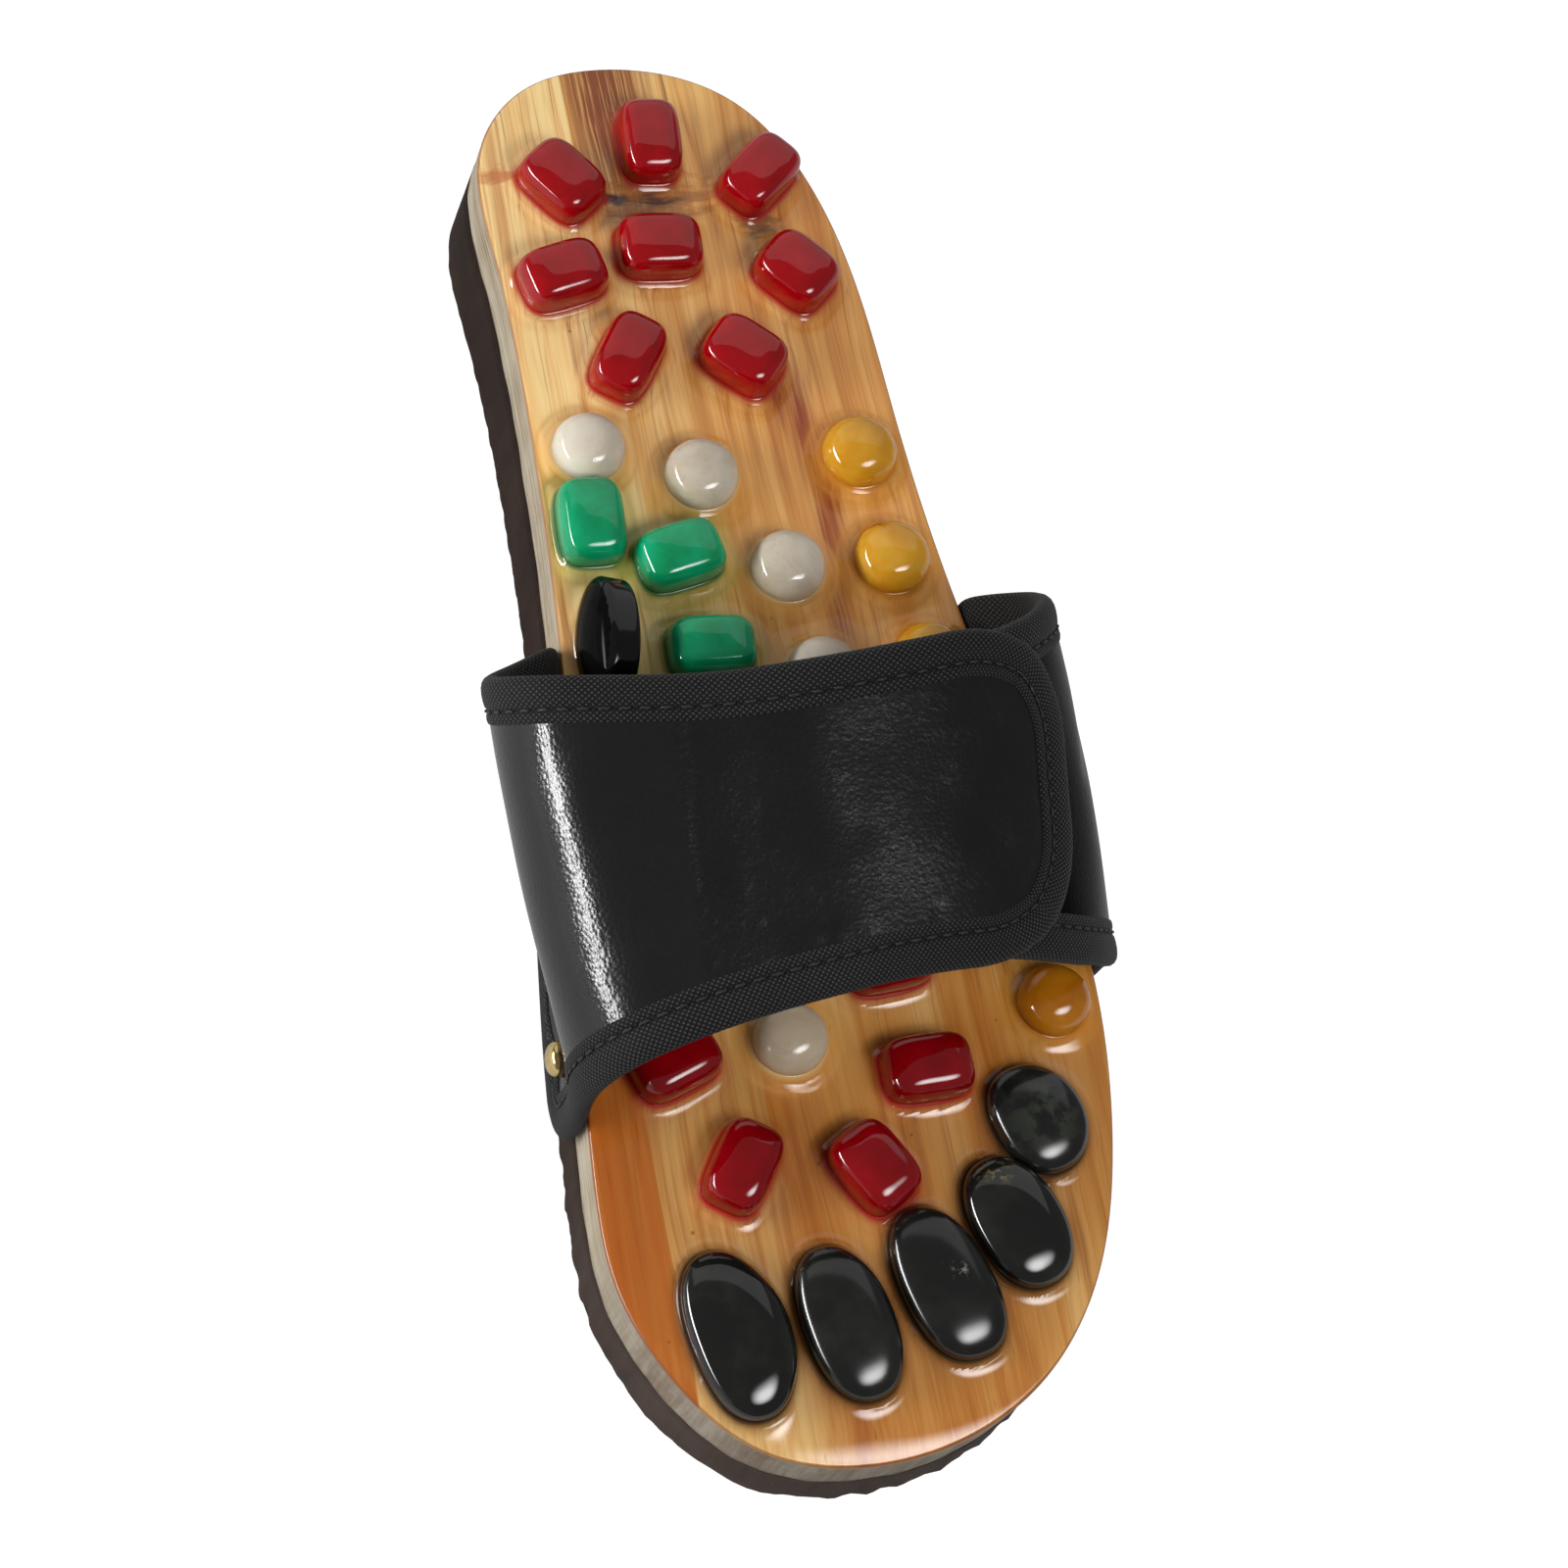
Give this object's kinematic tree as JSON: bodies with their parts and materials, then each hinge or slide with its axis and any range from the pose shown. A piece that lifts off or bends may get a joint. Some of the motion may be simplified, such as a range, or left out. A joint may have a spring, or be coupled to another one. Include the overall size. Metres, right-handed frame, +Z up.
{
  "type": "massage sandal",
  "caption": "Left slip-on massage sandal: flat wooden footbed set with polished stones, wedge foam sole and one broad adjustable strap tacked to the sides.",
  "frame": {"origin": "centre of the underside of the whole sandal's box, on the floor", "axes": "+Z up from the floor, +Y from toe to heel, +X to the little toe's side"},
  "size_m": [0.1144, 0.2762, 0.0779],
  "materials": {
    "brown_foam": "matte closed-cell foam, dark brown",
    "fir_wood": "glued fir strips under a clear glossy coat, raw pale edge",
    "black_leather": "black grained artificial leather with a woven edge tape",
    "brass": "polished brass tack heads",
    "red_stone": "polished deep red stone",
    "green_stone": "polished green stone",
    "white_stone": "polished milky stone",
    "yellow_stone": "polished honey yellow stone",
    "black_stone": "polished black stone"
  },
  "bodies": {
    "root": {"footbed": "fir_wood", "outsole": "brown_foam", "stone_black_arch": "black_stone", "stone_green_1": "green_stone", "stone_green_2": "green_stone", "stone_green_3": "green_stone", "stone_green_4": "green_stone", "stone_green_5": "green_stone", "stone_red_ball_1": "red_stone", "stone_red_ball_2": "red_stone", "stone_red_ball_3": "red_stone", "stone_red_ball_4": "red_stone", "stone_red_ball_5": "red_stone", "stone_red_heel_1": "red_stone", "stone_red_heel_2": "red_stone", "stone_red_heel_3": "red_stone", "stone_red_heel_4": "red_stone", "stone_red_heel_5": "red_stone", "stone_red_heel_6": "red_stone", "stone_red_heel_7": "red_stone", "stone_red_heel_8": "red_stone", "stone_toe_1": "black_stone", "stone_toe_2": "black_stone", "stone_toe_3": "black_stone", "stone_toe_4": "black_stone", "stone_toe_5": "black_stone", "stone_white_1": "white_stone", "stone_white_2": "white_stone", "stone_white_3": "white_stone", "stone_white_4": "white_stone", "stone_white_5": "white_stone", "stone_white_6": "white_stone", "stone_white_7": "white_stone", "stone_yellow_1": "yellow_stone", "stone_yellow_2": "yellow_stone", "stone_yellow_3": "yellow_stone", "stone_yellow_4": "yellow_stone", "stone_yellow_5": "yellow_stone", "stone_yellow_6": "yellow_stone", "tack_lateral_1": "brass", "tack_lateral_2": "brass", "tack_lateral_3": "brass", "tack_lateral_4": "brass", "tack_medial_1": "brass", "tack_medial_2": "brass", "tack_medial_3": "brass", "tack_medial_4": "brass", "upper": "black_leather"}
  },
  "joints": []
}
